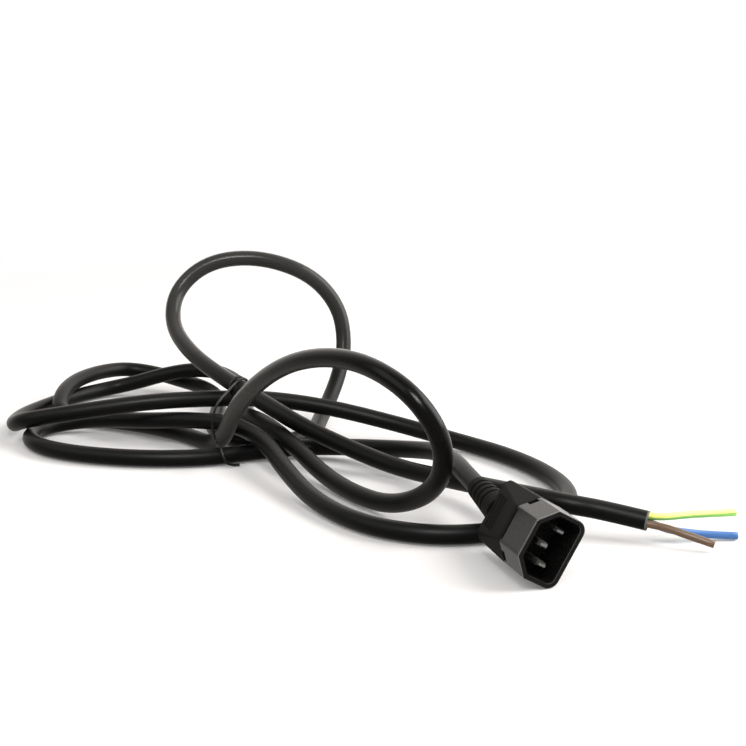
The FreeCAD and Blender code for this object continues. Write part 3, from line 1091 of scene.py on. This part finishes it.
@dataclass
class Studio:
    """Pale floor, white surround, soft lamps and the camera at the photograph's angle."""

    lens: float = 67.56
    sensor: float = 36.0
    place: Point = (-0.21585, -0.4725, 0.1901)
    elevation: float = 12.71
    azimuth: float = 18.58
    farthest: float = 100.0
    middle: Point = (-0.03, 0.13, 0.0)
    floor_size: float = 30.0
    floor_drop: float = 0.2 * MM
    floor_colour: Colour = (0.84, 0.815, 0.795)
    floor_white: float = 0.1
    white_reach: Span = (0.33, 0.8)
    ambient: float = 0.6
    front_glow: float = 0.2
    floor_glow: float = 0.6
    back_glow: float = 0.7
    lit_lean: float = 0.7
    dim_edge: Span = (-0.1, 0.3)
    bright_edge: Span = (0.3, 0.75)
    ground_edge: Span = (-0.1, 0.6)
    horizon: Span = (-0.35, -0.1)
    warmth: Colour = (1.0, 0.96, 0.915)
    lamps: tuple[Lamp, ...] = (
        Lamp("key", (1.16, -0.19, 0.86), size=1.3, power=35.0),
        Lamp("front", (-0.27, -0.59, 0.93), size=0.3, power=3.0),
        Lamp("shine", (-0.42, -0.64, 0.83), size=0.36, power=9.0, lights_matte=False),
        Lamp("fill", (-0.9, 0.1, 0.7), size=0.8, power=3.0),
    )

    def camera(self) -> None:
        """Make the camera."""
        data = bpy.data.cameras.new("camera")
        data.lens = self.lens
        data.sensor_width = self.sensor
        data.clip_end = self.farthest
        camera = bpy.data.objects.new("camera", data)
        camera.location = self.place
        camera.rotation_euler = (math.radians(90 - self.elevation), 0, math.radians(-self.azimuth))
        bpy.context.collection.objects.link(camera)
        bpy.context.scene.camera = camera

    def rays(self, graph: Graph) -> tuple[Wired, Wired]:
        """Masks of the rays that see the background.

        Args:
            graph: The graph that asks.

        Returns:
            One for camera and transmission rays, and one for glossy rays.
        """
        path = graph.raw("ShaderNodeLightPath", {}, {})
        camera, through, glossy = (Wired(graph, path.outputs[f"Is {kind} Ray"])
                                   for kind in ("Camera", "Transmission", "Glossy"))
        return camera.either(through), glossy

    def floor_material(self) -> bpy.types.Material:
        """Build the floor's finish: pale near the object, white far off, clear in reflections.

        Returns:
            The material.
        """
        graph = Graph.of_material("floor_white")
        away = graph.node("ShaderNodeVectorMath", {"operation": "DISTANCE"},
                          {0: graph.place(), 1: self.middle}, "Value")
        seen, glossy = self.rays(graph)
        matte = graph.node("ShaderNodeBsdfDiffuse", {}, {"Color": (*self.floor_colour, 1.0)})
        glow = graph.node("ShaderNodeEmission", {}, {"Color": (*WHITE, 1.0), "Strength": 1.0})
        share = seen * away.ramp(*self.white_reach, self.floor_white, 1.0)
        solid = graph.node("ShaderNodeMixShader", {}, {0: share, 1: matte, 2: glow})
        clear = graph.node("ShaderNodeBsdfTransparent", {}, {})
        return graph.close(graph.raw("ShaderNodeMixShader", {}, {0: glossy, 1: solid, 2: clear}))

    def floor(self) -> None:
        """Make the floor, which keeps the object's soft shadow."""
        mesh = bmesh.new()
        bmesh.ops.create_grid(mesh, x_segments=1, y_segments=1, size=self.floor_size / 2)
        data = bpy.data.meshes.new("floor")
        mesh.to_mesh(data)
        mesh.free()
        data.materials.append(self.floor_material())
        floor = bpy.data.objects.new("floor", data)
        floor.location = (0, 0, -self.floor_drop)
        bpy.context.collection.objects.link(floor)

    def surround(self) -> None:
        """Make the world: white where it is seen, an even light, and a reflection that has sides.

        The reflection is brightest at the back right and dim in front, with a darker ground.
        """
        graph = Graph.of_world("surround")
        toward = graph.node("ShaderNodeTexCoord", {}, {}, "Generated")
        right, back, up = graph.split(toward)
        seen, glossy = self.rays(graph)
        lit_side = right * self.lit_lean + back * self.lit_lean
        sky = (lit_side.ramp(*self.dim_edge, self.front_glow, 1.0)
               + lit_side.ramp(*self.bright_edge, 0.0, self.back_glow))
        ground = back.ramp(*self.ground_edge, self.front_glow, self.floor_glow)
        low = up.ramp(*self.horizon, 1.0, 0.0)
        mirrored = low * ground + (1.0 - low) * sky
        unseen = glossy * mirrored + (1.0 - glossy) * self.ambient
        level = seen + (1.0 - seen) * unseen
        tint = graph.blend(glossy, WHITE, self.warmth)
        graph.close(graph.raw("ShaderNodeBackground", {}, {"Color": tint, "Strength": level}))

    def build(self) -> None:
        """Make the whole studio."""
        self.camera()
        self.floor()
        self.surround()
        for lamp in self.lamps:
            lamp.hang(self.middle)
        bpy.context.scene.view_settings.view_transform = "Standard"


def write_sizes() -> None:
    """Bring the view layer up to date."""
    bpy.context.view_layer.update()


def main() -> None:
    """Build every sub-assembly in order."""
    logging.basicConfig(level=logging.INFO)
    Studio().build()
    Plug().build()
    on_cord = StrippedEnd().build()
    on_cord.append(WireTie().build())
    Cord().build(on_cord)
    write_sizes()


if __name__ == "__main__":
    main()
